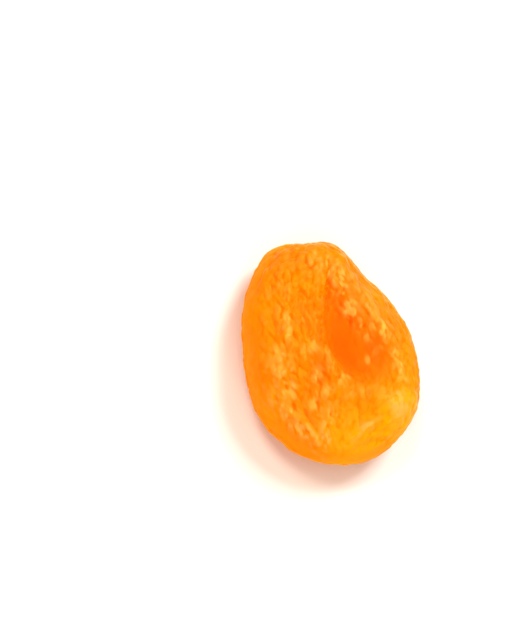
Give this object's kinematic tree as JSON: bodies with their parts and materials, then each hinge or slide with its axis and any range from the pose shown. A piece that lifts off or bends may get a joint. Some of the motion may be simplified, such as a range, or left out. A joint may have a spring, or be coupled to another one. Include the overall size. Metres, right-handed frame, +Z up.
{
  "type": "dried apricot",
  "caption": "Whole pitted dried apricot, flattened, with a sunken wrinkled upper side; lies flat on its belly as food or set dressing.",
  "frame": {"origin": "on the surface that the fruit lies on, below the middle of its outline", "axes": "+Z up, out of the sunken side; +Y towards the stem end; +X towards the narrow cheek"},
  "size_m": [0.0312, 0.0399, 0.0132],
  "materials": {
    "dried_flesh": "semi-gloss, moist, translucent orange dried fruit flesh with wrinkled skin"
  },
  "bodies": {
    "root": {"apricot": "dried_flesh"}
  },
  "joints": []
}
